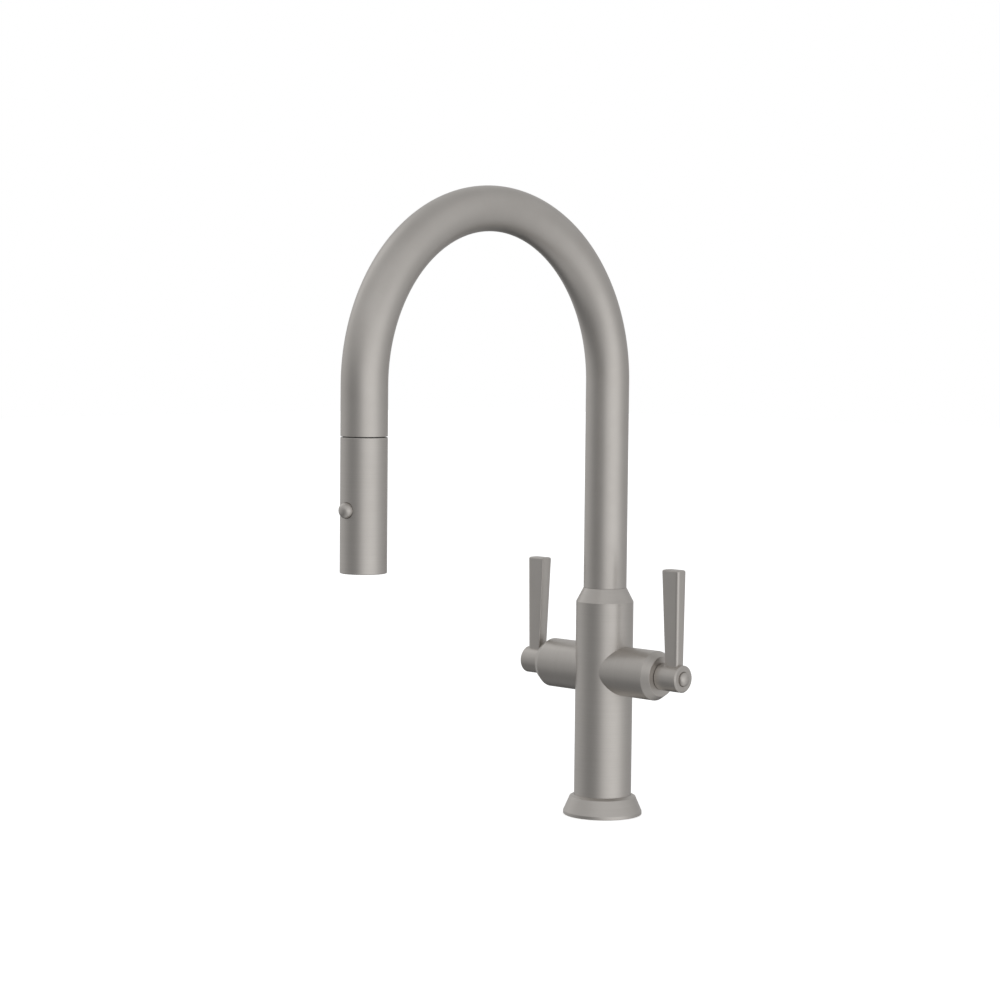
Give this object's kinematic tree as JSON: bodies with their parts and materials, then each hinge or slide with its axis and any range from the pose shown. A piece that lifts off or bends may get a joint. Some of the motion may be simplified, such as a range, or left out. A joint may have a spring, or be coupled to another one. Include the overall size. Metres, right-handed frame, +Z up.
{
  "type": "pull-down kitchen tap",
  "caption": "Deck-mounted satin nickel kitchen tap with a high gooseneck swivel spout, a pull-down spray head and a lever valve on each side.",
  "frame": {"origin": "centre of the base flange's underside, on the column's axis, in the plane of the deck", "axes": "+Z up along the column, -Y towards the spout's outlet and the user, +X towards the cold handle on the user's right"},
  "size_m": [0.1444, 0.2814, 0.5646],
  "materials": {
    "satin_nickel": "satin brushed nickel plate",
    "brass": "turned brass",
    "copper": "drawn copper tube",
    "rubber": "matt black rubber",
    "black_plastic": "moulded black acetal",
    "white_plastic": "natural white acetal",
    "grey_plastic": "moulded grey plastic",
    "ceramic": "lapped alumina ceramic",
    "steel": "bright stainless steel",
    "magnet": "plated ring magnet",
    "hose_braid": "grey nylon braid over hose"
  },
  "bodies": {
    "base": {"base_flange": "satin_nickel", "base_seal": "rubber", "column": "satin_nickel", "spout_retaining_screw": "steel", "valve_block": "brass", "swivel_bush_lower": "white_plastic", "swivel_bush_upper": "white_plastic", "shank": "brass", "deck_washer": "rubber", "clamp_washer": "steel", "mounting_nut": "brass", "nut_screws": "steel", "hot_tail": "copper", "cold_tail": "copper", "mixed_tail": "copper", "mixed_outlet_fitting": "brass", "left_bonnet": "satin_nickel", "left_cartridge": "brass", "left_seat_seal": "rubber", "left_seat_disc": "ceramic", "right_bonnet": "satin_nickel", "right_cartridge": "brass", "right_seat_seal": "rubber", "right_seat_disc": "ceramic"},
    "spout": {"spout_tube": "satin_nickel", "swivel_sleeve": "brass", "swivel_o_rings": "rubber", "dock_ring": "black_plastic", "dock_magnet": "magnet", "spray_hose": "hose_braid", "hose_outlet_run": "hose_braid", "hose_end_fitting": "brass"},
    "spray": {"spray_shell": "satin_nickel", "spray_core": "grey_plastic", "spray_o_ring": "rubber", "spray_collar": "black_plastic", "latch_ring": "steel", "hose_connector": "brass", "check_valve": "white_plastic", "button_seal": "rubber", "button_spring": "steel", "spray_face": "black_plastic", "spray_bezel": "grey_plastic", "aerator_housing": "grey_plastic", "aerator_screen": "steel"},
    "button": {"spray_button": "satin_nickel", "diverter_spool": "white_plastic"},
    "left_handle": {"left_lever": "satin_nickel", "left_cap_screw": "satin_nickel", "left_stem": "brass", "left_turning_disc": "ceramic", "left_stem_o_ring": "rubber"},
    "right_handle": {"right_lever": "satin_nickel", "right_cap_screw": "satin_nickel", "right_stem": "brass", "right_turning_disc": "ceramic", "right_stem_o_ring": "rubber"}
  },
  "joints": [
    {"name": "spout_swivel", "type": "hinge", "parent": "base", "child": "spout", "pos_m": [0, 0, 0.152], "axis": [0, 0, 1], "range_deg": [-120, 120]},
    {"name": "spray_pull", "type": "slide", "parent": "spout", "child": "spray", "axis": [0, 0, -1], "range_m": [0, 0.15], "stiffness_N_per_m": 12, "springref_m": -0.4, "deforming": ["hose_outlet_run"]},
    {"name": "button_press", "type": "slide", "parent": "spray", "child": "button", "axis": [0, 1, 0], "range_m": [0, 0.0022], "stiffness_N_per_m": 900, "springref_m": -0.0012, "deforming": ["button_spring"]},
    {"name": "left_lever_turn", "type": "hinge", "parent": "base", "child": "left_handle", "pos_m": [-0.06, 0, 0.0973], "axis": [1, 0, 0], "range_deg": [0, 90]},
    {"name": "right_lever_turn", "type": "hinge", "parent": "base", "child": "right_handle", "pos_m": [0.06, 0, 0.0973], "axis": [1, 0, 0], "range_deg": [0, 90]}
  ]
}
